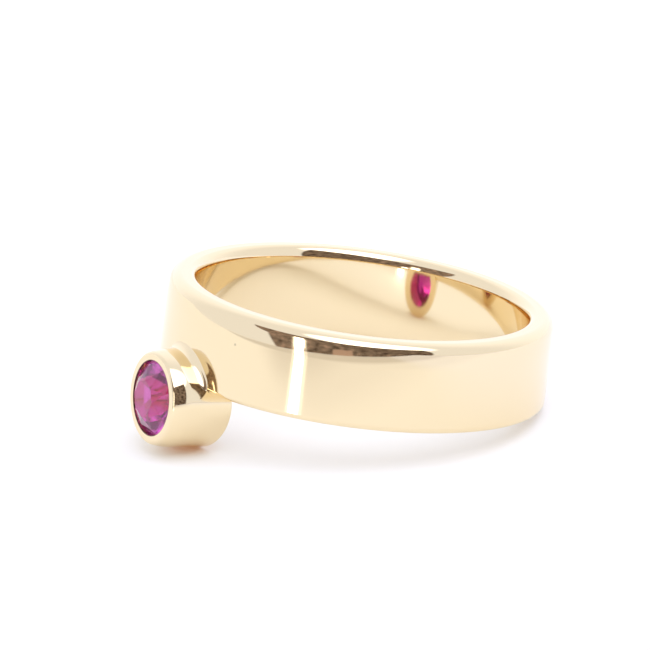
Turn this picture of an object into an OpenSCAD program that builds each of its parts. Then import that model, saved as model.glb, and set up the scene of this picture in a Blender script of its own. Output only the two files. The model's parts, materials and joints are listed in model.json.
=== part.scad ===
// Gemstone ring: a flat polished band, with a round faceted ruby in a short tube setting
// that is soldered across the band's lower edge, so that it hangs below the band.
//
// The ring lies as it rests by itself: on the back edge of the tube and on the far edge of
// the band, which leans it by lean degrees. The origin is the middle of its box on the surface.

/* [Band] */
// Inner diameter of the band, the finger size
finger_d = 17.5; // [15:0.1:22]
// Thickness of the band, from finger to outside
wall = 1.5; // [1.2:0.05:2.2]
// Width of the band, along the finger
band_w = 4.75; // [4:0.05:7]
// Rounding of the band's two outer edges
outer_round = 0.3; // [0.1:0.05:0.4]
// Rounding of the band's two inner edges
inner_round = 0.35; // [0.1:0.05:0.6]

/* [Setting] */
// Outer diameter of the tube that holds the stone
tube_d = 5.15; // [4.8:0.05:6]
// Diameter of the tube's open back, behind the stone
tube_bore_d = 3.4; // [3:0.1:4]
// How far the front of the tube stands out from the band
tube_proud = 1.6; // [1.2:0.05:2.5]
// Distance from the middle of the band's width down to the tube's axis
tube_drop = 3.3; // [2.8:0.05:4]
// Diameter of the opening in the tube's rim, where the stone shows
window_d = 3.95; // [3.6:0.05:4.1]
// Rounding of the tube's front edge
rim_round = 0.2; // [0.1:0.05:0.3]

/* [Ruby] */
// Diameter of the stone at its girdle
stone_d = 4.3; // [4.2:0.05:4.5]
// Width of the table as a part of the stone's diameter
table_part = 0.45; // [0.4:0.01:0.65]
// Slope of the crown's main facets
crown_angle = 35; // [28:1:38]
// Slope of the pavilion's main facets
pavilion_angle = 40; // [36:1:43]
// Depth of the stone's girdle below the tube's rim
girdle_depth = 0.35; // [0.3:0.05:0.5]
// Gap between the stone and the metal
seat_gap = 0.04; // [0.02:0.01:0.08]

/* [Hidden] */
$fn = 180;
GOLD = "#d8b36a";
RUBY = "#b01860";
FACETS = 8;
GIRDLE_H = 0.08;
// Where the star facets and the lower halves end, as parts of the stone's radius
STAR_PART = 0.78;
LOWER_PART = 0.26;
PAST = 1;

finger_r = finger_d / 2;
outer_r = finger_r + wall;
half_w = band_w / 2;
tube_r = tube_d / 2;
rim_at = outer_r + tube_proud;
girdle_at = rim_at - girdle_depth;
// The tube's back is cut this much short of the finger, so that the band's wall stays whole
BACK_CUT = 0.02;
back_r = finger_r + BACK_CUT;

// Lean at which the tube's back edge and the band's far edge touch the surface together.
// It solves fall * cos(lean) - reach * sin(lean) = outer_round.
fall = tube_drop + tube_r - half_w + outer_round;
reach = back_r + outer_r - outer_round;
lean = acos(outer_round / norm([fall, reach])) - atan2(reach, fall);

// The ring's box, from its own middle, once it leans: the band's far edge, the tube's rim and the table
function edge_out(r, h) = (r - outer_round) * cos(lean) + (h - outer_round) * sin(lean) + outer_round;
function edge_down(r, h) = (r - outer_round) * sin(lean) + (h - outer_round) * cos(lean) + outer_round;
far_y = edge_out(outer_r, half_w);
rim_y = (rim_at - rim_round) * cos(lean) + (tube_drop + tube_r - rim_round) * sin(lean) + rim_round;

// Stone: radii and heights of its facet corners. The heights are above the girdle's top,
// or below its bottom, and follow the main facets' planes, so each kite is flat.
stone_r = stone_d / 2;
table_r = stone_r * table_part;
star_r = stone_r * STAR_PART;
lower_r = stone_r * LOWER_PART;
STEP = 360 / FACETS;
HALF = STEP / 2;
function crown_h(r, off) = (stone_r - r * cos(off)) * tan(crown_angle);
function pavilion_h(r, off) = (stone_r - r * cos(off)) * tan(pavilion_angle);
function loop(r, z, off) = [for (k = [0:FACETS - 1]) [r * cos(STEP * k + off), r * sin(STEP * k + off), z]];
table_h = crown_h(table_r, 0);
star_h = crown_h(star_r, HALF);
table_y = (girdle_at + table_h) * cos(lean) + (tube_drop + table_r) * sin(lean);

// Where the ring's own middle goes, so that the box stands centred on the surface
middle_y = (max(rim_y, table_y) - far_y) / 2;
middle_z = edge_down(outer_r, half_w);

// Seat: the crown at the window is highest between two mains
window_r = window_d / 2;
seat_r = stone_r + seat_gap;
crown_at_window = (stone_r - window_r) * star_h / (stone_r - star_r);
bore_r = tube_bore_d / 2;
ledge_h = (seat_r - bore_r) * tan(pavilion_angle);

// Puts a shape made round the ring's upright axis, with the setting towards -Y, at rest
module at_rest() {
    translate([0, middle_y, middle_z]) rotate([-lean, 0, 0]) children();
}

// Puts a shape made round +Z, measured from the finger's axis, on the tube's axis
module on_tube() {
    translate([0, 0, -tube_drop]) rotate([90, 0, 0]) children();
}

// Cross-section of the band: a flat strip with its four edges rounded
module band_section() {
    polygon([
        [finger_r, half_w - inner_round], [finger_r + inner_round, half_w],
        [outer_r - outer_round, half_w], [outer_r, half_w - outer_round],
        [outer_r, -half_w + outer_round], [outer_r - outer_round, -half_w],
        [finger_r + inner_round, -half_w], [finger_r, -half_w + inner_round]
    ]);
    for (side = [-1, 1]) {
        translate([finger_r + inner_round, side * (half_w - inner_round)]) circle(inner_round);
        translate([outer_r - outer_round, side * (half_w - outer_round)]) circle(outer_round);
    }
}

// The tube before it is bored, with a rounded front edge and its back cut to the finger's curve
module tube_blank() {
    difference() {
        on_tube() {
            cylinder(r = tube_r, h = rim_at - rim_round);
            cylinder(r = tube_r - rim_round, h = rim_at);
            translate([0, 0, rim_at - rim_round]) rotate_extrude()
                translate([tube_r - rim_round, 0]) circle(rim_round);
        }
        translate([0, 0, -tube_drop - tube_r - PAST])
            cylinder(r = back_r, h = tube_drop + tube_r + half_w + 2 * PAST);
    }
}

// What is cut out of the tube alone: the open back, the ledge, the girdle's seat and the window
module stone_seat() {
    girdle_low = girdle_at - GIRDLE_H - seat_gap;
    girdle_high = girdle_at + seat_gap;
    on_tube() rotate_extrude() polygon([
        [0, 0], [bore_r, 0], [bore_r, girdle_low - ledge_h], [seat_r, girdle_low],
        [seat_r, girdle_high], [window_r, girdle_high + crown_at_window],
        [window_r, rim_at + PAST], [0, rim_at + PAST]
    ]);
}

module band_with_setting() {
    color(GOLD) at_rest() {
        rotate_extrude() band_section();
        difference() {
            tube_blank();
            stone_seat();
        }
    }
}

// Round brilliant: table, stars, kites and upper halves above the girdle, kites and halves below
module brilliant() {
    points = concat(
        loop(table_r, table_h, 0), loop(star_r, star_h, HALF),
        loop(stone_r, 0, 0), loop(stone_r, 0, HALF),
        loop(stone_r, -GIRDLE_H, 0), loop(stone_r, -GIRDLE_H, HALF),
        loop(lower_r, -GIRDLE_H - pavilion_h(lower_r, HALF), HALF),
        [[0, 0, -GIRDLE_H - pavilion_h(0, 0)]]
    );
    // First point of each loop above
    star = FACETS;
    top_main = 2 * FACETS;
    top_half = 3 * FACETS;
    low_main = 4 * FACETS;
    low_half = 5 * FACETS;
    lower = 6 * FACETS;
    culet = 7 * FACETS;
    faces = concat(
        [[for (k = [0:FACETS - 1]) FACETS - 1 - k]],
        [for (k = [0:FACETS - 1]) let (n = (k + 1) % FACETS) each [
            [k, n, star + k],
            [n, star + n, top_main + n, star + k],
            [star + k, top_half + k, top_main + k],
            [star + k, top_main + n, top_half + k],
            [top_main + k, top_half + k, low_half + k, low_main + k],
            [top_half + k, top_main + n, low_main + n, low_half + k],
            [lower + k, low_main + k, low_half + k],
            [lower + k, low_half + k, low_main + n],
            [culet, lower + k, low_main + n, lower + n]
        ]]
    );
    polyhedron(points, faces);
}

module ruby() {
    color(RUBY) at_rest() on_tube() translate([0, 0, girdle_at]) brilliant();
}

band_with_setting();
ruby();
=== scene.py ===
"""Looks of the gemstone ring: a polished pale gold band, and a ruby in a short tube soldered under it."""

import json
import math

import bpy
import numpy as np
from mathutils import Matrix, Vector


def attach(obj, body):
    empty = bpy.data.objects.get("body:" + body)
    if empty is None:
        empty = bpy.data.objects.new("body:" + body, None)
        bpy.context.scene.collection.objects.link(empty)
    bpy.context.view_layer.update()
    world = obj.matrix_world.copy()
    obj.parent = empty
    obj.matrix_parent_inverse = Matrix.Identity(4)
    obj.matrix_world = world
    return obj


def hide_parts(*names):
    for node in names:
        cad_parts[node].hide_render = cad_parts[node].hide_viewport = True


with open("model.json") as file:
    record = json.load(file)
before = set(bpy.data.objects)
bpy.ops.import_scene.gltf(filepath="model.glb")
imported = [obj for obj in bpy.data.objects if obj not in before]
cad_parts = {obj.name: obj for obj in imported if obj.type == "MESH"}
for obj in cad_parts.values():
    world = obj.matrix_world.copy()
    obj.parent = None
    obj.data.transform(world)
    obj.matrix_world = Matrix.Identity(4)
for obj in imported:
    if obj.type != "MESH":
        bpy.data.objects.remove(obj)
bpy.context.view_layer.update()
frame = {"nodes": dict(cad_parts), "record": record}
MM = 0.001

# The ring's own frame: x across, d from the finger's axis towards the setting, h along the finger
bore = next(mount for mount in frame["record"]["mounts"] if mount["name"] == "finger_bore")
MIDDLE = np.array(bore["pos_m"], float)
ALONG = np.array(bore["axis"], float)
ALONG /= np.linalg.norm(ALONG)
ACROSS = np.array([1.0, 0.0, 0.0])
TOWARDS = np.cross(ACROSS, ALONG)
TO_WORLD = np.stack([ACROSS, TOWARDS, ALONG])

# Sizes of the band as the solid has them, in millimetres
FINGER_R = bore["dims"]["r_mm"]
WALL = 1.5
OUTER_R = FINGER_R + WALL
HALF_W = 2.375
OUTER_ROUND = 0.3
INNER_ROUND = 0.35

# Sizes of the tube as the solid has them. Its back is cut a little short of the finger
TUBE_R = 2.575
TUBE_DROP = 3.3
TUBE_PROUD = 1.6
RIM_AT = OUTER_R + TUBE_PROUD
RIM_ROUND = 0.2
BACK_CUT = 0.02
BACK_R = FINGER_R + BACK_CUT

# The tube's inside: its open back, the ledge, the seat of the stone's girdle, and the window in the rim
BORE_R = 1.7
STONE_R = 2.15
SEAT_GAP = 0.04
SEAT_R = STONE_R + SEAT_GAP
WINDOW_R = 1.975
GIRDLE_DEPTH = 0.35
GIRDLE_H = 0.08
GIRDLE_LOW = RIM_AT - GIRDLE_DEPTH - GIRDLE_H - SEAT_GAP
GIRDLE_HIGH = RIM_AT - GIRDLE_DEPTH + SEAT_GAP
CROWN_AT_WINDOW = 0.156
WINDOW_AT = GIRDLE_HIGH + CROWN_AT_WINDOW
LEDGE_SLOPE = 40.0
LEDGE_AT = GIRDLE_LOW - (SEAT_R - BORE_R) * math.tan(math.radians(LEDGE_SLOPE))
# Its corners, as (distance from the tube's axis, d), from the rim to the open back
TUBE_INSIDE = [
    (WINDOW_R, RIM_AT), (WINDOW_R, WINDOW_AT), (SEAT_R, GIRDLE_HIGH), (SEAT_R, GIRDLE_LOW),
    (BORE_R, LEDGE_AT),
]

# What hand finishing does to the metal. Buffing has softened the upper edges more than the lower ones,
# and left a low shoulder on the outer wall below its upper edge. The inner wall is domed a few hundredths
TOP_OUTER_ROUND = 0.6
TOP_INNER_ROUND = 0.37
SHOULDER_R = 6.0
SHOULDER_TURN = 8.0
DOME_R = 68.0
DOME_H = 1.4
# The upper inner edge was bevelled first, nearly flat, between these slopes in degrees from the wall
BEVEL_R = 0.9
BEVEL_SOFT = 0.5
BEVEL_FROM = 9.0
BEVEL_TO = 33.0
# The setter has pressed the tube's front inwards, over the stone, along a wide arc
PRESSED_AT = 10.8
PRESSED_TURN = 17.0
# The tube's back edge is only just rounded
BACK_ROUND = 0.08
# Solder has run into the corner between the tube and the band's outer wall, and reaches SOLDER_DEEP into
# both. Near the band's lower edge it shrinks by a share and sinks into the metal, each between two turns
# round the tube, which are degrees from its top. Below SOLDER_LEAST none of it is seen
SOLDER_ROUND = 0.45
SOLDER_DEEP = 0.15
SOLDER_SHRINKS = (54.0, 72.0)
SOLDER_LOSES = 0.95
SOLDER_SINKS = (64.0, 74.0)
SOLDER_SUNK = 0.3
SOLDER_LEAST = 0.03
# Pits in the outer wall, as (x, d, h): one beside the tube, and three elsewhere. A pit is darkest up to
# PIT_FULL from its middle, and ends at PIT_ENDS
PITS = [(3.88, 9.49, 0.71), (-7.25, 7.25, -1.2), (-9.6, -3.6, 0.9), (5.1, -8.89, -0.6)]
PIT_FULL = 0.03
PIT_ENDS = 0.09
PIT_SHARE = 0.35
# Painted shade darkens the gap between the rim and the stone. It ends at the first distance below from the
# stone's axis, softened over the second. On either of them it is (begins, full, front, share): how far from
# the stone's axis it begins and is full, how far from the finger's axis it begins, and the share that it
# covers
GAP_SHADE_END = 2.0
GAP_SHADE_SOFT = 0.01
RIM_GAP_SHADE = (1.95, 1.96, 11.77, 0.75)
STONE_GAP_SHADE = (1.9, 1.95, 11.6, 0.8)

# Patterns, by how many millimetres one repeat takes. The gold's hairlines run along the band, and like the
# sheet's grain they are drawn coarser than real ones, so that they show. The gold's waves are a few microns
# deep, and its softer patches are rougher
HAIRLINE_LONG = 4.0
HAIRLINE_APART = 0.125
HAIRLINE_DEEP = 1.5e-4
WAVE = 2.857
WAVE_DEEP = 4e-3
SOFT_PATCH = 5.556
SILK = 1.111
FINGER_MARK = 0.6667
SHEET_GRAIN = 1.111

# How a face of the metal finds its surface. The surface passes this near to the face's middle, or that
# distance over BALL_SLACK where a ball rolls along it. Their normals agree this well, and an arc counts a
# little past its ends, in degrees
SURFACE_NEAR = 0.004
BALL_SLACK = 0.3
NORMALS_AGREE = 0.8
NO_MATCH = -2.0
ARC_SLACK = 0.05

# The light tent. Ways are (azimuth, elevation) in degrees, with azimuths from +X towards +Y. A round
# light is gone below the first cosine of the angle to its middle, and full above the second. First the
# walls' brightness, and what is added to it behind the ring
WALLS = 1.0
BEHIND = 0.24
BEHIND_AT = (145.0, 5.0)
BEHIND_FADES = (0.2, 0.9)
COOL_WHITE = (0.97, 1.0, 1.14, 1.0)
# A soft lamp high on the right, full within 24 degrees of its middle
LAMP = 1.75
LAMP_AT = (0.0, 60.0)
LAMP_FADES = (math.cos(math.radians(32)), math.cos(math.radians(24)))
# The opening at its front, and a narrow white gap in it, as (left, right, bottom, top, softness) in degrees
OPENING = (-120.0, 60.0, -1.0, 42.0, 1.2)
GAP = (-66.5, -60.0, 3.0, 27.0, 1.0)
GAP_WHITE = (3.0, 3.0, 3.0, 1.0)
# Its flaps are tied back, so it is wider at its top. A flap is (slope, start, stop, before, after): the
# opening goes from before to after as azimuth + slope * elevation goes from start to stop
FLAPS = [(0.55, -79.0, -77.0, 0.0, 1.0), (-0.3, 14.5, 16.5, 1.0, 0.0)]
# The things in the room behind it, about 4.5 degrees wide, how much they differ, and what is added to
# them, which goes from the first number to the second between two azimuths
THINGS_PER_DEGREE = 0.22
THINGS_DIFFER = 0.9
ROOM_SIDES = (-85.0, 20.0)
ROOM_ADDS = (0.17, -0.02)
# A shelf and the upper wall of the room, given as the opening is, and how much brighter they are
SHELF = (-43.0, -32.0, -3.0, 5.0, 1.0)
SHELF_ADDS = 0.6
UPPER_WALL = (-6.0, 25.0, 9.0, 46.0, 3.0)
UPPER_WALL_ADDS = 0.06

# Where the floor's painted light changes, as (way along it, start, stop, most) in millimetres from the
# origin:
# painted shade, grey far off towards the photographer and a little of it nearer, and a painted brighter,
# cooler glow behind the ring. FLOOR_HALF is in metres
FLOOR_HALF = 2.0
FLOOR_SHADE_FAR = ((0.90, -0.42, 0.0), 48.0, 85.0, 1.0)
FLOOR_SHADE_NEAR = ((0.95, -0.1, 0.0), 24.0, 36.0, 0.25)
FLOOR_GLOW_BEHIND = ((0.2, 1.0, 0.0), 8.0, 16.0, 1.0)
# The painted shadow under the tube: how far from the finger's axis it lies, and where it is full and ends
SHADOW_SPOT_AT = 9.3
SHADOW_SPOT_FULL = 0.4
SHADOW_SPOT_ENDS = 2.1

# Two lamps beside the ring, as (name, place, width, height, watts) in millimetres: a slim upright one,
# which draws the white line down the band's outer wall, and the pale glow on its cloth cover
LAMPS = [
    ("strip_lamp", (18.3, -28.7, 9.0), 2.9, 16.8, 0.0006),
    ("strip_cover", (18.9, -29.6, 9.0), 5.2, 20.5, 0.00011),
]

# The camera: how far it is turned from the view along +Y, raised and rolled, in degrees, and its distance
# and shifts in metres. FOCAL is its focal length in pixels of the picture, which is PICTURE pixels wide,
# and SENSOR is in millimetres
TURN = 62.50
RAISE = 19.45
ROLL = -1.955
DISTANCE = 0.4737
SHIFT_RIGHT = -0.001703
SHIFT_UP = 0.000539
FOCAL = 9000.0
PICTURE = 650.0
SENSOR = 36.0


# Mesh helpers
def mesh_object(name, points, faces):
    """An object from an array of points and an array of faces of one size, faces outward."""
    mesh = bpy.data.meshes.new(name)
    mesh.vertices.add(len(points))
    mesh.vertices.foreach_set("co", np.asarray(points, np.float32).ravel())
    size = faces.shape[1]
    mesh.loops.add(faces.size)
    mesh.loops.foreach_set("vertex_index", faces.astype(np.int32).ravel())
    mesh.polygons.add(len(faces))
    mesh.polygons.foreach_set("loop_start", np.arange(0, faces.size, size, dtype=np.int32))
    mesh.update(calc_edges=True)
    mesh.validate()
    obj = bpy.data.objects.new(name, mesh)
    bpy.context.scene.collection.objects.link(obj)
    return obj


def closed_grid(rows, columns):
    """Quads of a grid of rows by columns points that closes on itself both ways."""
    i = np.arange(rows)[:, None]
    j = np.arange(columns)[None, :]
    a = i * columns + j
    b = ((i + 1) % rows) * columns + j
    c = ((i + 1) % rows) * columns + (j + 1) % columns
    d = i * columns + (j + 1) % columns
    return np.stack([a, b, c, d], -1).reshape(-1, 4)


def values_of(parts, what, width=1, kind=float):
    """One value of every vertex, face or corner of a mesh, width numbers to a row."""
    values = np.empty(len(parts) * width, kind)
    parts.foreach_get(what, values)
    return values.reshape(-1, width) if width > 1 else values


def outward(obj):
    """Turns the faces of a closed mesh outward if its signed volume is negative."""
    mesh = obj.data
    mesh.calc_loop_triangles()
    points = values_of(mesh.vertices, "co", 3)
    corners = values_of(mesh.loop_triangles, "vertices", 3, np.int32)
    a, b, c = (points[corners[:, k]] for k in range(3))
    if np.einsum("ij,ij->i", a, np.cross(b, c)).sum() < 0:
        mesh.flip_normals()
    return obj


def joined(body, other):
    """body after a union with other, which is used up."""
    modifier = body.modifiers.new("join", "BOOLEAN")
    modifier.object = other
    modifier.operation = "UNION"
    modifier.solver = "EXACT"
    bpy.context.view_layer.update()
    made = bpy.data.meshes.new_from_object(body.evaluated_get(bpy.context.evaluated_depsgraph_get()))
    body.modifiers.remove(modifier)
    body.data = made
    bpy.data.objects.remove(other)
    return body


def placed(obj):
    """Moves the mesh from the ring's own frame, in millimetres, to where the solid lies, in metres."""
    turn = Matrix((TO_WORLD.T * MM).tolist()).to_4x4()
    turn.translation = Vector(MIDDLE.tolist())
    obj.data.transform(turn)
    return obj


# Sections of the band and the tube
def arc(middle, radius, start, stop, steps):
    """Points on a circle round middle, from start to stop degrees: middle + radius * (cos, sin)."""
    turn = np.radians(np.linspace(start, stop, steps + 1))
    return np.stack([middle[0] + radius * np.cos(turn), middle[1] + radius * np.sin(turn)], -1)


def rounded(middle, radius, turn, small):
    """Middle of the small arc that goes on where an arc round middle has turned that many degrees."""
    turn = math.radians(turn)
    return middle[0] + (radius - small) * math.cos(turn), middle[1] + (radius - small) * math.sin(turn)


def band_section():
    """The band's section, in order round it from the outer wall's shoulder, as arcs (middle r, middle h,
    radius, start, stop) in degrees. Each meets the next along a common tangent, or across a flat."""
    drop = (SHOULDER_R - TOP_OUTER_ROUND) * math.sin(math.radians(SHOULDER_TURN))
    shoulder = OUTER_R - SHOULDER_R, HALF_W - TOP_OUTER_ROUND - drop
    top_outer = rounded(shoulder, SHOULDER_R, SHOULDER_TURN, TOP_OUTER_ROUND)
    dome = FINGER_R + DOME_R, DOME_H
    rise = (BEVEL_SOFT - BEVEL_R) * math.sin(math.radians(BEVEL_FROM))
    rise += (BEVEL_R - TOP_INNER_ROUND) * math.sin(math.radians(BEVEL_TO))
    top_h = HALF_W - TOP_INNER_ROUND - rise
    low_h = INNER_ROUND - HALF_W
    top_turn = 180 - math.degrees(math.asin((top_h - DOME_H) / (DOME_R - BEVEL_SOFT)))
    low_turn = 180 - math.degrees(math.asin((low_h - DOME_H) / (DOME_R - INNER_ROUND)))
    soft = rounded(dome, DOME_R, top_turn, BEVEL_SOFT)
    bevel = rounded(soft, BEVEL_SOFT, 180 - BEVEL_FROM, BEVEL_R)
    top_inner = rounded(bevel, BEVEL_R, 180 - BEVEL_TO, TOP_INNER_ROUND)
    low_inner = rounded(dome, DOME_R, low_turn, INNER_ROUND)
    return [
        (*shoulder, SHOULDER_R, 0, SHOULDER_TURN),
        (*top_outer, TOP_OUTER_ROUND, SHOULDER_TURN, 90),
        (*top_inner, TOP_INNER_ROUND, 90, 180 - BEVEL_TO),
        (*bevel, BEVEL_R, 180 - BEVEL_TO, 180 - BEVEL_FROM),
        (*soft, BEVEL_SOFT, 180 - BEVEL_FROM, top_turn),
        (*dome, DOME_R, top_turn, low_turn),
        (*low_inner, INNER_ROUND, low_turn, 270),
        (OUTER_R - OUTER_ROUND, OUTER_ROUND - HALF_W, OUTER_ROUND, 270, 360),
    ]


def tube_section():
    """The outside of the tube's section, as arcs (middle rho, middle d, radius, start, stop) in degrees:
    the pressed front, which leaves the straight wall, and the rounded rim."""
    run = RIM_AT - RIM_ROUND - PRESSED_AT
    pressed_r = RIM_ROUND + run / math.sin(math.radians(PRESSED_TURN))
    pressed = TUBE_R - pressed_r, PRESSED_AT
    rim = rounded(pressed, pressed_r, PRESSED_TURN, RIM_ROUND)
    return [(*pressed, pressed_r, 0, PRESSED_TURN), (*rim, RIM_ROUND, PRESSED_TURN, 90)]


def along_arcs(arcs, steps):
    """Points along a section's arcs (middle u, middle v, radius, start, stop), one after the other."""
    return np.concatenate([arc((u, v), size, start, stop, steps) for u, v, size, start, stop in arcs])


# Surfaces of the band, the tube and the solder
def band_surface(turns=720, steps=12):
    """The band's section carried round the finger's axis: (r sin t, r cos t, h) for each point (r, h) of
    the section and each turn t."""
    section = along_arcs(band_section(), steps)
    t = np.linspace(0, 2 * np.pi, turns, endpoint=False)[:, None]
    r, h = section[:, 0][None], section[:, 1][None]
    points = np.stack(np.broadcast_arrays(r * np.sin(t), r * np.cos(t), h + 0 * t), -1).reshape(-1, 3)
    doubled = np.hypot(*(section - np.roll(section, -1, 0)).T) < 1e-6
    keep = np.tile(~doubled, turns)
    return points[keep], closed_grid(turns, int((~doubled).sum()))


def back_edge_ball(t):
    """Middle (x, d, h) of the ball that rolls round inside the tube's outer back edge at each turn t: it
    touches the tube's wall, and the back, which is cut to the finger's curve."""
    rho = TUBE_R - BACK_ROUND
    x = rho * np.sin(t)
    d = np.sqrt((BACK_R + BACK_ROUND) ** 2 - x ** 2)
    return np.stack([x, d, -TUBE_DROP + rho * np.cos(t)], -1)


def between(start, stop, steps):
    """Unit vectors that turn evenly from each row of start to the same row of stop."""
    part = np.linspace(0, 1, steps + 1)[None, :, None]
    angle = np.arccos(np.einsum("ij,ij->i", start, stop))[:, None, None]
    mixed = np.sin((1 - part) * angle) * start[:, None] + np.sin(part * angle) * stop[:, None]
    return mixed / np.sin(angle)


def tube_surface(turns=360, steps=10, back_steps=5):
    """The tube's section from its back, over the rounded back edge, along the outside, over the rim and
    down through the seat and the bore, carried round its own axis: (rho sin t, d, rho cos t - TUBE_DROP).
    The back lies on the finger's curve, d = sqrt(BACK_R^2 - x^2)."""
    # The two arcs of the outside share a point, which is kept once
    outside = np.delete(along_arcs(tube_section(), steps), steps + 1, 0)
    t = np.linspace(0, 2 * np.pi, turns, endpoint=False)
    away = np.stack([np.sin(t), 0 * t, np.cos(t)], -1)
    rho, d = np.concatenate([outside, np.array(TUBE_INSIDE)]).T
    turned = rho[None, :, None] * away[:, None] + np.stack([0 * d, d, 0 * d - TUBE_DROP], -1)[None]
    ball = back_edge_ball(t)
    to_back = -ball * [1, 1, 0] / (BACK_R + BACK_ROUND)
    edge = ball[:, None] + BACK_ROUND * between(to_back, away, steps)
    part = np.linspace(0, 1, back_steps + 1)[None, :-1, None]
    back = (1 - part) * (BORE_R * away - [0, 0, TUBE_DROP])[:, None] + part * edge[:, :1]
    back[..., 1] = np.sqrt(BACK_R ** 2 - back[..., 0] ** 2)
    points = np.concatenate([turned, back, edge], 1)
    return points.reshape(-1, 3), closed_grid(turns, points.shape[1])


def eased(value, start, stop):
    """0 before start and 1 after stop, with a smooth step between."""
    part = np.clip((value - start) / (stop - start), 0, 1)
    return part * part * (3 - 2 * part)


def solder_ball(t):
    """Middle (x, d, h) of the ball that rolls along the joint, touching the tube and the band, at each
    turn t round the tube, its radius, and how far it has sunk into the metal. The ball shrinks towards
    the band's lower edge, and past it runs on inside the tube's wall, so that the solder closes."""
    turn = np.abs(np.degrees(t))
    size = SOLDER_ROUND * (1 - SOLDER_LOSES * eased(turn, *SOLDER_SHRINKS))
    sunk = SOLDER_SUNK * eased(turn, *SOLDER_SINKS)
    rho = TUBE_R - sunk + size
    x = rho * np.sin(t)
    d = np.sqrt((OUTER_R - sunk + size) ** 2 - x ** 2)
    return np.stack([x, d, -TUBE_DROP + rho * np.cos(t)], -1), size, sunk


def solder_surface(turns=360, steps=12):
    """The solder in the joint, carried round the tube: an arc on the rolling ball, from where it touches
    the tube to where it touches the band, closed through three points inside the metal."""
    t = np.linspace(-np.pi, np.pi, turns, endpoint=False)
    middle, size, sunk = solder_ball(t)
    to_tube = -np.stack([np.sin(t), 0 * t, np.cos(t)], -1)
    to_band = -middle * [1, 1, 0] / (OUTER_R - sunk + size)[:, None]
    curve = middle[:, None] + size[:, None, None] * between(to_tube, to_band, steps)
    on_tube, on_band = curve[:, 0], curve[:, -1]
    corner = middle + (size + SOLDER_DEEP)[:, None] * (to_tube + to_band)
    inside = [on_band + SOLDER_DEEP * to_band, corner, on_tube + SOLDER_DEEP * to_tube]
    points = np.concatenate([curve, np.stack(inside, 1)], 1)
    return points.reshape(-1, 3), closed_grid(turns, points.shape[1])


# The same surfaces as distance and outward normal, for points (x, d, h) in the ring's own frame
def section_normal(u, v, flats, arcs):
    """Distance to the nearest flat or arc of a section in (u, v), and its normal there. A flat is (place,
    normal u, normal v, where it counts), and an arc (middle u, middle v, radius, start, stop)."""
    best = np.full(len(u), np.inf)
    n_u, n_v = np.ones(len(u)), np.zeros(len(u))
    for place, a, b, inside in flats:
        distance = np.where(inside, np.abs(u * a + v * b - place), np.inf)
        closer = distance < best
        best[closer], n_u[closer], n_v[closer] = distance[closer], a, b
    for middle_u, middle_v, size, start, stop in arcs:
        turn = np.degrees(np.arctan2(v - middle_v, u - middle_u)) % 360
        inside = (turn > start - ARC_SLACK) & (turn < stop + ARC_SLACK)
        distance = np.where(inside, np.abs(np.hypot(u - middle_u, v - middle_v) - size), np.inf)
        closer = distance < best
        best[closer] = distance[closer]
        n_u[closer], n_v[closer] = np.cos(np.radians(turn[closer])), np.sin(np.radians(turn[closer]))
    return best, n_u, n_v


def band_normal(p):
    """The band's section, outer wall and rims included."""
    r, h = np.hypot(p[:, 0], p[:, 1]), p[:, 2]
    arcs = band_section()
    shoulder, top_outer, top_inner, _, _, _, low_inner, low_outer = arcs
    flats = [(OUTER_R, 1.0, 0.0, (h < shoulder[1]) & (h > low_outer[1]) & (r > shoulder[0])),
             (HALF_W, 0.0, 1.0, (r < top_outer[0]) & (r > top_inner[0])),
             (HALF_W, 0.0, -1.0, (r < low_outer[0]) & (r > low_inner[0]))]
    distance, n_r, n_h = section_normal(r, h, flats, arcs)
    return distance, np.stack([p[:, 0] / r * n_r, p[:, 1] / r * n_r, n_h], -1)


def about_tube(p):
    """Distance from the tube's axis, and the unit vector away from it."""
    h = p[:, 2] + TUBE_DROP
    rho = np.maximum(np.hypot(p[:, 0], h), 1e-9)
    return rho, np.stack([p[:, 0] / rho, 0 * rho, h / rho], -1)


def tube_normal(p):
    """The tube's outside: its wall, the pressed front, the rounded rim and the rim's flat face."""
    rho, away = about_tube(p)
    pressed, rim = tube_section()
    flats = [(TUBE_R, 1.0, 0.0, p[:, 1] < pressed[1]), (RIM_AT, 0.0, 1.0, rho < rim[0])]
    distance, n_rho, n_d = section_normal(rho, p[:, 1], flats, [pressed, rim])
    normal = away * n_rho[:, None]
    normal[:, 1] = n_d
    return distance, normal


def back_normal(p):
    """The tube's back, on the finger's curve, facing the finger."""
    r = np.hypot(p[:, 0], p[:, 1])
    return BACK_R - r, -np.stack([p[:, 0] / r, p[:, 1] / r, 0 * r], -1)


def back_edge_normal(p):
    """The tube's rounded back edge, which is on the rolling ball and faces away from its middle. The
    ball's turn is found from the point and bettered twice."""
    outward_by = np.zeros_like(p)
    for _ in range(3):
        t = np.arctan2(p[:, 0] - outward_by[:, 0], p[:, 2] - outward_by[:, 2] + TUBE_DROP)
        away = p - back_edge_ball(t)
        length = np.maximum(np.linalg.norm(away, axis=1), 1e-9)
        outward_by = away / length[:, None] * BACK_ROUND
    return BALL_SLACK * np.abs(length - BACK_ROUND), away / length[:, None]


def solder_normal(p):
    """The solder's surface, which is on the rolling ball and faces its middle. The ball's turn is found
    from the point and bettered twice."""
    toward = np.zeros_like(p)
    for _ in range(3):
        t = np.arctan2(p[:, 0] + toward[:, 0], p[:, 2] + toward[:, 2] + TUBE_DROP)
        middle, size, _ = solder_ball(t)
        away = middle - p
        length = np.maximum(np.linalg.norm(away, axis=1), 1e-9)
        toward = away / length[:, None] * size[:, None]
    there = (size > SOLDER_LEAST) & (p[:, 1] > 0)
    return np.where(there, BALL_SLACK * np.abs(length - size), np.inf), away / length[:, None]


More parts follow.
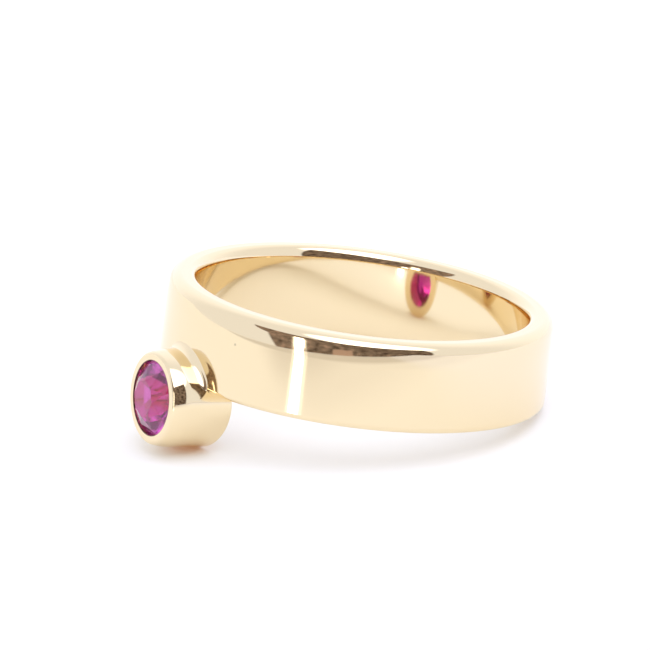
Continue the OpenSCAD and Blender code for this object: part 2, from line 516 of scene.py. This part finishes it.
def turned_normal(rho_a, d_a, rho_b, d_b):
    """A turned surface inside the tube, through two points (rho, d), that faces the axis or the front."""
    along = np.array([rho_b - rho_a, d_b - d_a])
    along = along / np.hypot(*along)
    n_rho, n_d = along[1], -along[0]
    if n_rho > 0 or (n_rho == 0 and n_d < 0):
        n_rho, n_d = -n_rho, -n_d

    def surface(p):
        rho, away = about_tube(p)
        normal = away * n_rho
        normal[:, 1] = n_d
        return (rho - rho_a) * n_rho + (p[:, 1] - d_a) * n_d, normal
    return surface


METAL_SURFACES = [band_normal, tube_normal, back_normal, back_edge_normal, solder_normal]
METAL_SURFACES += [turned_normal(*a, *b) for a, b in zip(TUBE_INSIDE, TUBE_INSIDE[1:] + [(BORE_R, 0.0)])]


def true_normals(obj):
    """Gives each corner the exact normal of the surface that its face lies on, so that mirror images run
    true. A face belongs to the surface near its middle whose normal is nearest to the face's own."""
    mesh = obj.data
    count = len(mesh.polygons)
    points = values_of(mesh.vertices, "co", 3)
    middle = values_of(mesh.polygons, "center", 3)
    points, middle = (((place - MIDDLE) / MM) @ TO_WORLD.T for place in (points, middle))
    flat = values_of(mesh.polygons, "normal", 3) @ TO_WORLD.T
    corner = values_of(mesh.loops, "vertex_index", kind=np.int32)
    owner = np.repeat(np.arange(count), values_of(mesh.polygons, "loop_total", kind=np.int32))
    best = np.full(count, NO_MATCH)
    chosen = np.full(count, -1)
    for k, surface in enumerate(METAL_SURFACES):
        distance, normal = surface(middle)
        match = np.where(np.abs(distance) < SURFACE_NEAR, np.einsum("ij,ij->i", normal, flat), NO_MATCH)
        better = match > best + 1e-6
        best[better] = match[better]
        chosen[better] = k
    normals = flat[owner].copy()
    for k, surface in enumerate(METAL_SURFACES):
        use = (chosen[owner] == k) & (best[owner] > NORMALS_AGREE)
        normals[use] = surface(points[corner[use]])[1]
    mesh.polygons.foreach_set("use_smooth", np.ones(count, bool))
    mesh.normals_split_custom_set((normals @ TO_WORLD).tolist())
    return obj


# Material helpers
COLOUR = {"data_type": "RGBA"}
SMOOTH = {"interpolation_type": "SMOOTHSTEP"}
PLUS = {"operation": "ADD"}
TIMES = {"operation": "MULTIPLY"}
TIMES_PLUS = {"operation": "MULTIPLY_ADD"}
ALONG_WAY = {"operation": "DOT_PRODUCT"}
DISTANCE_TO = {"operation": "DISTANCE"}


def shade(code):
    """Linear colour of an sRGB hex value, with alpha 1."""
    parts = [int(code[k:k + 2], 16) / 255 for k in (1, 3, 5)]
    return tuple(c / 12.92 if c <= 0.04045 else ((c + 0.055) / 1.055) ** 2.4 for c in parts) + (1.0,)


def add(tree, kind, settings=None, **inputs):
    """Adds one shader node. settings go to its properties; inputs set sockets by name (_ for a space) or
    by number (n0), and a socket given there is linked, or a node's first output."""
    made = tree.nodes.new("ShaderNode" + kind)
    for name, value in (settings or {}).items():
        setattr(made, name, value)
    for name, value in inputs.items():
        key = int(name[1:]) if name[0] == "n" and name[1:].isdigit() else name.replace("_", " ")
        if isinstance(value, bpy.types.Node):
            value = value.outputs[0]
        if isinstance(value, bpy.types.NodeSocket):
            tree.links.new(value, made.inputs[key])
        else:
            made.inputs[key].default_value = value
    return made


def repeats(size):
    """How often a pattern of this size in millimetres repeats in a metre."""
    return 1.0 / (MM * size)


def new_material(name):
    """An empty material, its node tree, and the place of a point on the piece."""
    material = bpy.data.materials.new(name)
    material.use_nodes = True
    tree = material.node_tree
    tree.nodes.clear()
    return material, tree, add(tree, "TexCoord").outputs["Object"]


def painted_gap_shade(tree, where, begins, full, front, share):
    """The share of painted shade in the gap by the stone, in a ring round its axis, as the sizes above give
    it.
    """
    on_axis = MIDDLE + MM * (RIM_AT * TOWARDS - TUBE_DROP * ALONG)
    apart = add(tree, "VectorMath", {"operation": "SUBTRACT"}, n0=where, n1=tuple(on_axis))
    across = add(tree, "VectorMath", {"operation": "CROSS_PRODUCT"}, n0=apart, n1=tuple(TOWARDS))
    rho = add(tree, "VectorMath", {"operation": "LENGTH"}, n0=across).outputs["Value"]
    inner = add(tree, "MapRange", Value=rho, From_Min=MM * begins, From_Max=MM * full, To_Max=share)
    outer = add(tree, "MapRange", Value=rho, From_Min=MM * GAP_SHADE_END,
                From_Max=MM * (GAP_SHADE_END + GAP_SHADE_SOFT), To_Min=1.0, To_Max=0.0)
    ahead = add(tree, "VectorMath", ALONG_WAY, n0=where, n1=tuple(TOWARDS)).outputs["Value"]
    ahead = add(tree, "Math", {"operation": "GREATER_THAN"}, n0=ahead,
                n1=float(MIDDLE @ TOWARDS) + MM * front)
    ring = add(tree, "Math", TIMES, n0=inner, n1=outer)
    return add(tree, "Math", TIMES, n0=ring, n1=ahead)


# Materials
def polished_gold():
    """14 carat yellow gold, buffed by hand: mirror bright and pale, a little wavy, with hairlines that
    the mop has left along the band, softer patches, and a few pits, which show as dark specks. Painted
    shade darkens it inside the rim, in the gap by the stone."""
    material, tree, where = new_material("gold_14k_polished")
    lean = math.atan2(ALONG[1], ALONG[2])
    long, close = repeats(HAIRLINE_LONG), repeats(HAIRLINE_APART)
    lines = add(tree, "Mapping", {"vector_type": "POINT"}, Vector=where, Rotation=(lean, 0.0, 0.0),
                Scale=(long, long, close))
    lines = add(tree, "TexNoise", Vector=lines, Scale=1.0, Detail=2.0)
    waves = add(tree, "TexNoise", Vector=where, Scale=repeats(WAVE), Detail=1.0)
    wavy = add(tree, "Bump", Height=waves, Distance=MM * WAVE_DEEP, Strength=1.0)
    lined = add(tree, "Bump", Height=lines, Distance=MM * HAIRLINE_DEEP, Strength=1.0, Normal=wavy)
    soft = add(tree, "TexNoise", Vector=where, Scale=repeats(SOFT_PATCH), Detail=3.0)
    rough = add(tree, "MapRange", Value=soft, From_Min=0.3, From_Max=0.7, To_Min=0.03, To_Max=0.08)
    # Painted shade in the gap between the rim and the stone
    dark = painted_gap_shade(tree, where, *RIM_GAP_SHADE)
    for pit in PITS:
        place = MIDDLE + MM * (np.array(pit) @ TO_WORLD)
        apart = add(tree, "VectorMath", DISTANCE_TO, n0=where, n1=tuple(place)).outputs["Value"]
        pit = add(tree, "MapRange", Value=apart, From_Min=MM * PIT_FULL, From_Max=MM * PIT_ENDS,
                  To_Min=PIT_SHARE, To_Max=0.0)
        dark = add(tree, "Math", {"operation": "MAXIMUM"}, n0=pit, n1=dark)
    colour = add(tree, "Mix", COLOUR, Factor=dark, n6=shade("#f2dfb8"), n7=shade("#4a2c28"))
    surface = add(tree, "BsdfPrincipled", Base_Color=colour.outputs[2], Metallic=1.0, Roughness=rough,
                  Normal=lined)
    add(tree, "OutputMaterial", Surface=surface)
    return material


def cut_ruby():
    """Ruby, cut and polished: clear and deep purplish red, with bright flashes from the far facets,
    finger marks on the table, and a cloud of fine silk inside, which shows as slight changes of colour.
    Painted shade darkens its border where it meets the rim."""
    material, tree, where = new_material("ruby_cut_polished")
    silk = add(tree, "TexNoise", Vector=where, Scale=repeats(SILK), Detail=3.0)
    silk = add(tree, "MapRange", Value=silk, From_Min=0.35, From_Max=0.65)
    clear = add(tree, "Mix", COLOUR, Factor=silk, n6=shade("#b62c96"), n7=shade("#ca48b0"))
    # Painted shade: a dark border on the stone, in the gap against the rim
    border = painted_gap_shade(tree, where, *STONE_GAP_SHADE)
    colour = add(tree, "Mix", COLOUR, Factor=border, n6=clear.outputs[2], n7=shade("#5a2038"))
    marks = add(tree, "TexNoise", Vector=where, Scale=repeats(FINGER_MARK), Detail=2.0)
    rough = add(tree, "MapRange", Value=marks, From_Min=0.4, From_Max=0.7, To_Min=0.08, To_Max=0.18)
    surface = add(tree, "BsdfPrincipled", Base_Color=colour.outputs[2], Metallic=0.0, Roughness=rough,
                  IOR=1.77, Transmission_Weight=1.0)
    add(tree, "OutputMaterial", Surface=surface)
    return material


def graded(tree, where, way, start, stop, most):
    """0 before start along way, most after stop, and a slope between, in millimetres from the origin."""
    along = add(tree, "VectorMath", ALONG_WAY, n0=where, n1=way).outputs["Value"]
    return add(tree, "MapRange", Value=along, From_Min=MM * start, From_Max=MM * stop, To_Max=most)


def pale_floor():
    """Matt white acrylic sheet, faintly lit from below, as on a small light table, so that shadows stay
    pale. Painted shade dims it a little towards the photographer and takes it to grey far off on that
    side, painted light makes its glow brighter and cooler behind the ring, and a painted shadow lies
    under the tube."""
    material, tree, where = new_material("acrylic_sheet_matt")
    grain = add(tree, "TexNoise", Vector=where, Scale=repeats(SHEET_GRAIN), Detail=2.0)
    rough = add(tree, "MapRange", Value=grain, To_Min=0.8, To_Max=0.95)
    # Painted shade: the floor darkens towards the photographer's side, where the tent is open
    off = graded(tree, where, *FLOOR_SHADE_FAR)
    near = graded(tree, where, *FLOOR_SHADE_NEAR)
    off = add(tree, "Math", PLUS, n0=off, n1=near)
    # Painted light: a brighter, cooler glow behind the ring
    behind = graded(tree, where, *FLOOR_GLOW_BEHIND)
    white = add(tree, "Mix", COLOUR, Factor=off, n6=shade("#dadad9"), n7=shade("#b8b4b0"))
    lit = add(tree, "Mix", COLOUR, Factor=off, n6=shade("#918e8a"), n7=shade("#787572"))
    lit = add(tree, "Mix", COLOUR, Factor=behind, n6=lit.outputs[2], n7=shade("#9395a8"))
    # Painted shadow under the tube: the glow is dimmed there and warmed, as by light off the gold
    spot = MIDDLE + MM * (SHADOW_SPOT_AT * TOWARDS - (TUBE_DROP + TUBE_R) * ALONG)
    under = add(tree, "VectorMath", DISTANCE_TO, n0=where, n1=(0.0, float(spot[1]), 0.0)).outputs["Value"]
    under = add(tree, "MapRange", SMOOTH, Value=under, From_Min=MM * SHADOW_SPOT_FULL, From_Max=MM * SHADOW_SPOT_ENDS,
                To_Min=1.0, To_Max=0.0)
    lit = add(tree, "Mix", COLOUR, Factor=under, n6=lit.outputs[2], n7=shade("#785034"))
    surface = add(tree, "BsdfPrincipled", Base_Color=white.outputs[2], Roughness=rough,
                  Emission_Color=lit.outputs[2], Emission_Strength=1.0)
    add(tree, "OutputMaterial", Surface=surface)
    return material


# Light
def patch(tree, azimuth, elevation, left, right, bottom, top, soft):
    """1 inside a patch of the surroundings, given by its four sides in degrees, with soft edges."""
    sides = [(azimuth, left, 0.0), (azimuth, right, 1.0), (elevation, bottom, 0.0), (elevation, top, 1.0)]
    inside = 1.0
    for angle, side, before in sides:
        edge = add(tree, "MapRange", SMOOTH, Value=angle, From_Min=side - soft, From_Max=side + soft,
                   To_Min=before, To_Max=1.0 - before)
        inside = add(tree, "Math", TIMES, n0=inside, n1=edge)
    return inside


def direction(azimuth, elevation):
    """The unit vector of a way given in degrees."""
    a, e = math.radians(azimuth), math.radians(elevation)
    return math.cos(a) * math.cos(e), math.sin(a) * math.cos(e), math.sin(e)


def round_light(tree, way, middle, fades, low, high):
    """low away from middle and high round it, with a soft edge between the two cosines in fades."""
    cosine = add(tree, "VectorMath", ALONG_WAY, n0=way, n1=direction(*middle)).outputs["Value"]
    return add(tree, "MapRange", SMOOTH, Value=cosine, From_Min=fades[0], From_Max=fades[1], To_Min=low,
               To_Max=high)


def light_tent():
    """A white tent, brighter behind the ring, with a soft lamp high on the right, and an open front on
    the photographer's side, where the dim brown room shows."""
    world = bpy.data.worlds.new("light_tent")
    world.use_nodes = True
    tree = world.node_tree
    tree.nodes.clear()
    way = add(tree, "TexCoord").outputs["Generated"]
    parts = add(tree, "SeparateXYZ", Vector=way)
    azimuth = add(tree, "Math", {"operation": "ARCTAN2"}, n0=parts.outputs["Y"], n1=parts.outputs["X"])
    azimuth = add(tree, "Math", {"operation": "DEGREES"}, n0=azimuth)
    elevation = add(tree, "Math", {"operation": "ARCSINE"}, n0=parts.outputs["Z"])
    elevation = add(tree, "Math", {"operation": "DEGREES"}, n0=elevation)
    walls = round_light(tree, way, BEHIND_AT, BEHIND_FADES, WALLS, WALLS + BEHIND)
    lamp = round_light(tree, way, LAMP_AT, LAMP_FADES, 0.0, LAMP)
    tent = add(tree, "Math", PLUS, n0=walls, n1=lamp)
    tent = add(tree, "Mix", {"data_type": "RGBA", "blend_type": "MULTIPLY"}, Factor=1.0, n6=tent,
               n7=COOL_WHITE)
    opening = patch(tree, azimuth, elevation, *OPENING)
    for slope, start, stop, before, after in FLAPS:
        leaning = add(tree, "Math", TIMES_PLUS, n0=elevation, n1=slope, n2=azimuth)
        flap = add(tree, "MapRange", SMOOTH, Value=leaning, From_Min=start, From_Max=stop, To_Min=before,
                   To_Max=after)
        opening = add(tree, "Math", TIMES, n0=opening, n1=flap)
    place = add(tree, "CombineXYZ", X=azimuth, Y=elevation)
    things = add(tree, "TexNoise", Vector=place, Scale=THINGS_PER_DEGREE, Detail=1.5)
    sides = add(tree, "MapRange", Value=azimuth, From_Min=ROOM_SIDES[0], From_Max=ROOM_SIDES[1],
                To_Min=ROOM_ADDS[0], To_Max=ROOM_ADDS[1])
    bright = add(tree, "Math", TIMES_PLUS, n0=things, n1=THINGS_DIFFER, n2=sides)
    for part, adds in ((SHELF, SHELF_ADDS), (UPPER_WALL, UPPER_WALL_ADDS)):
        part = patch(tree, azimuth, elevation, *part)
        bright = add(tree, "Math", TIMES_PLUS, n0=part, n1=adds, n2=bright)
    room = add(tree, "ValToRGB", Fac=bright)
    stops = room.color_ramp.elements
    stops[0].position, stops[0].color = 0.3, shade("#3a2a1e")
    stops[1].position, stops[1].color = 0.85, shade("#bfa49c")
    stops.new(0.55).color = shade("#81736e")
    gap = patch(tree, azimuth, elevation, *GAP)
    seen = add(tree, "Mix", COLOUR, Factor=opening, n6=tent.outputs[2], n7=room)
    seen = add(tree, "Mix", COLOUR, Factor=gap, n6=seen.outputs[2], n7=GAP_WHITE)
    glow = add(tree, "Background", Color=seen.outputs[2])
    add(tree, "OutputWorld", Surface=glow)
    return world


def light_panel(name, place, width, height, watts):
    """A rectangular lamp that stands at place and faces the ring, level. Sizes are in millimetres."""
    lamp = bpy.data.lights.new(name, "AREA")
    lamp.shape = "RECTANGLE"
    lamp.size = MM * width
    lamp.size_y = MM * height
    lamp.energy = watts
    obj = bpy.data.objects.new(name, lamp)
    bpy.context.scene.collection.objects.link(obj)
    x, y, z = (MM * distance for distance in place)
    facing = Vector((x, y, 0.0)).to_track_quat("Z", "Y")
    obj.matrix_world = Matrix.Translation((x, y, z)) @ facing.to_matrix().to_4x4()
    obj.visible_camera = False
    return obj


# Camera
def photo_camera():
    """A camera at the photo's place. back points from the ring to it; right and up are the picture's."""
    turn, raised, roll = np.radians([TURN, RAISE, ROLL])
    back = np.array([np.sin(turn) * np.cos(raised), -np.cos(turn) * np.cos(raised), np.sin(raised)])
    level = np.array([np.cos(turn), np.sin(turn), 0.0])
    upright = np.cross(back, level)
    right = level * np.cos(roll) + upright * np.sin(roll)
    up = upright * np.cos(roll) - level * np.sin(roll)
    lens = bpy.data.cameras.new("camera")
    lens.sensor_width = SENSOR
    lens.lens = FOCAL * SENSOR / PICTURE
    lens.clip_start = 0.01
    lens.clip_end = 10.0
    camera = bpy.data.objects.new("camera", lens)
    bpy.context.scene.collection.objects.link(camera)
    place = MIDDLE + right * SHIFT_RIGHT + up * SHIFT_UP + back * DISTANCE
    pose = Matrix(np.stack([right, up, back], 1).tolist()).to_4x4()
    pose.translation = Vector(place.tolist())
    camera.matrix_world = pose
    return camera


# The ring
metal = outward(mesh_object("band_and_setting", *band_surface()))
metal = joined(metal, outward(mesh_object("tube", *tube_surface())))
metal = joined(metal, outward(mesh_object("solder", *solder_surface())))
true_normals(outward(placed(metal)))
metal.data.materials.clear()
metal.data.materials.append(polished_gold())
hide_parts("band_with_setting")
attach(metal, "root")

for slot in frame["nodes"]["ruby"].material_slots:
    slot.material = cut_ruby()

# The scene round it
floor_points = np.array([[-1, -1, 0], [1, -1, 0], [1, 1, 0], [-1, 1, 0]], float) * FLOOR_HALF
floor = mesh_object("floor", floor_points, np.array([[0, 1, 2, 3]]))
floor.data.materials.append(pale_floor())

scene = bpy.context.scene
scene.world = light_tent()
for lamp in LAMPS:
    light_panel(*lamp)
scene.camera = photo_camera()
scene.view_settings.view_transform = "Standard"
# Light runs many times round inside the band before it leaves
scene.cycles.max_bounces = 24
scene.cycles.glossy_bounces = 20
scene.cycles.transmission_bounces = 20
